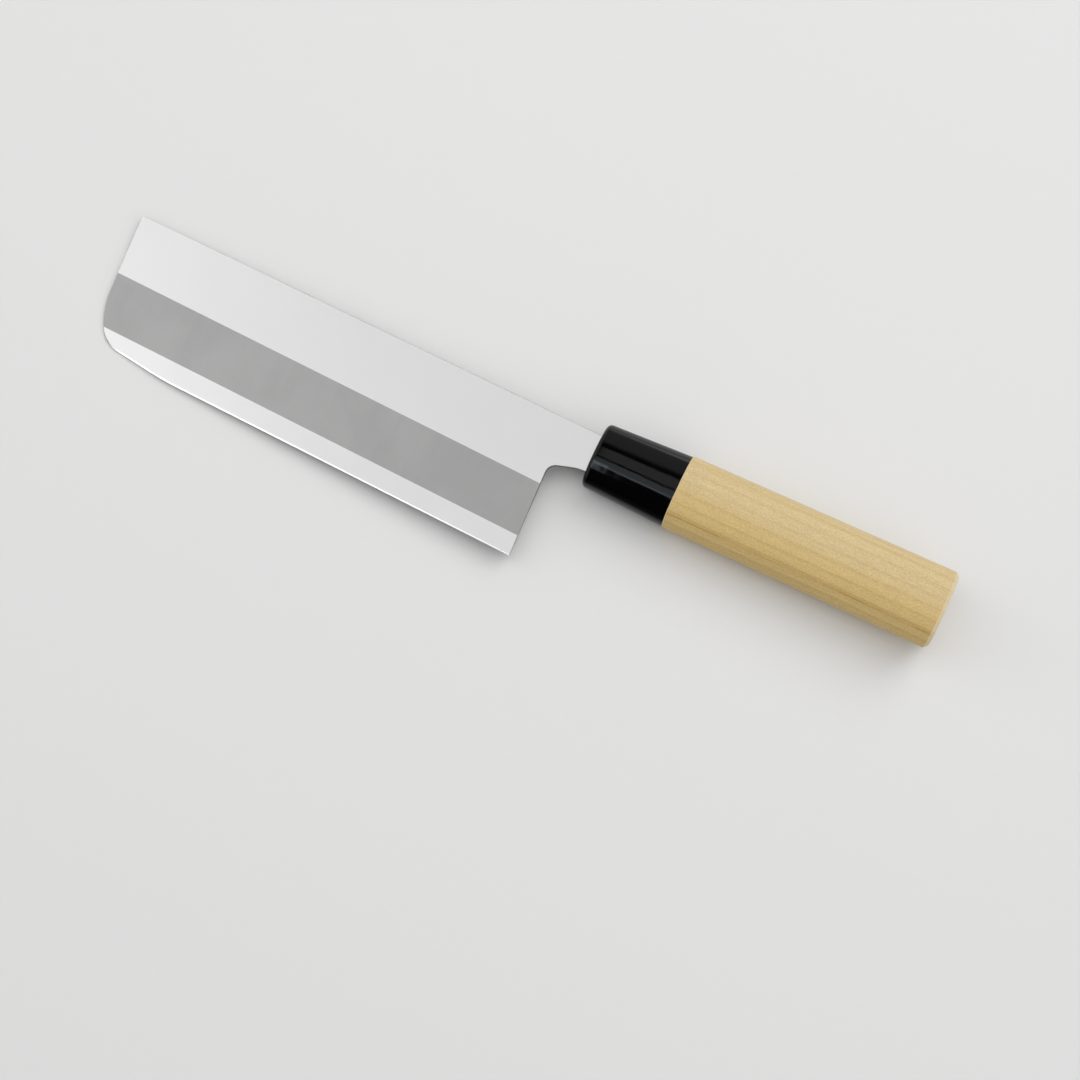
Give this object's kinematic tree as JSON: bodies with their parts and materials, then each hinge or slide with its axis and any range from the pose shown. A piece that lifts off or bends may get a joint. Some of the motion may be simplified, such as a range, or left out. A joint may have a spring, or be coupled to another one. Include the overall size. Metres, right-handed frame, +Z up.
{
  "type": "nakiri knife",
  "caption": "Nakiri vegetable knife: tall straight-edged steel blade with a flat and a satin bevel, oval wooden handle and black plastic ferrule.",
  "frame": {"origin": "centre of the bounding box's bottom face, on the table that the knife lies on", "axes": "+X along the knife from the tip towards the butt, +Y towards the spine, +Z up, out of the blade's left face; the knife lies on its right side, pitched 2.2 degrees tip down and rolled 2.0 degrees edge down, as it rests"},
  "size_m": [0.3013, 0.056, 0.0222],
  "materials": {
    "steel": "polished flat, fine satin bevel and bright edge band",
    "ferrule_plastic": "moulded black plastic with a high gloss",
    "wood": "bare pale magnolia, sanded smooth, with fine straight grain",
    "adhesive": "cured adhesive, amber and dull"
  },
  "bodies": {
    "root": {"blade": "steel", "ferrule": "ferrule_plastic", "handle": "wood", "tang_bedding": "adhesive"}
  },
  "joints": []
}
